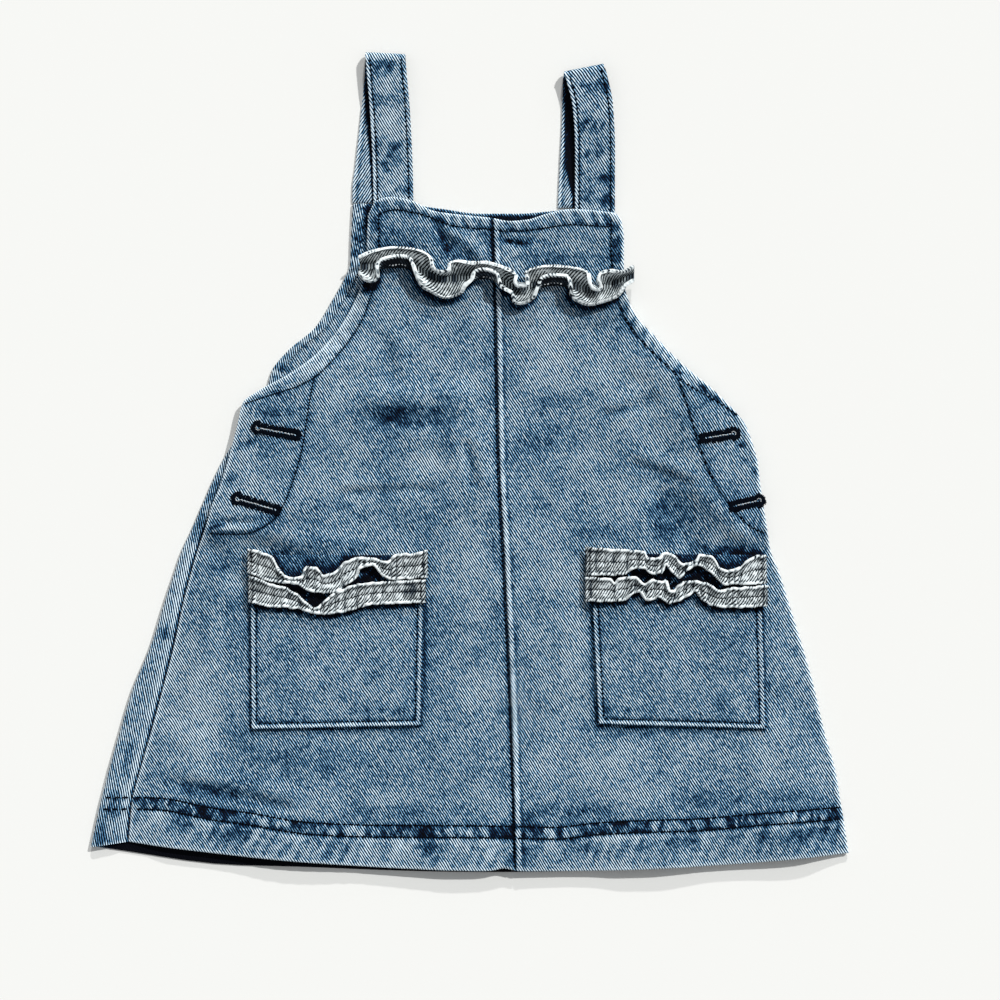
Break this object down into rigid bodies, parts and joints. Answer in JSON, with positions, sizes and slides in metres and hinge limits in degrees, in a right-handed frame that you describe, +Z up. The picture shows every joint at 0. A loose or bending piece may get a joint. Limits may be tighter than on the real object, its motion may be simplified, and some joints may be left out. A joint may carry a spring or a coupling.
{
  "type": "pinafore dress",
  "caption": "Child's stone-washed denim pinafore dress laid flat, with folded shoulder straps, side buttonholes, a frilled bib and patch pockets with gathered bands.",
  "frame": {"origin": "on the surface that the dress lies on, below the middle of its outline", "axes": "+X across the dress towards the wearer's left side as it lies, +Y from the hem towards the shoulder straps, +Z up from the surface"},
  "size_m": [0.3792, 0.4104, 0.0122],
  "materials": {
    "denim": "stone-washed blue cotton twill with pale worn seams and dark blue stitching",
    "denim_wrong_side": "pale wrong side of the same twill, with off-white worn edges and dark flecks",
    "button": "plain dark four-hole button"
  },
  "bodies": {
    "root": {"back_panel": "denim", "front_panel_left": "denim", "front_panel_right": "denim", "strap_left": "denim", "strap_right": "denim", "pocket_pouch_left": "denim", "pocket_pouch_right": "denim", "pocket_tier_left_upper": "denim_wrong_side", "pocket_tier_left_lower": "denim_wrong_side", "pocket_tier_right_upper": "denim_wrong_side", "pocket_tier_right_lower": "denim_wrong_side", "bib_frill": "denim_wrong_side", "button_left_upper": "button", "button_left_lower": "button", "button_right_upper": "button", "button_right_lower": "button"}
  },
  "joints": []
}
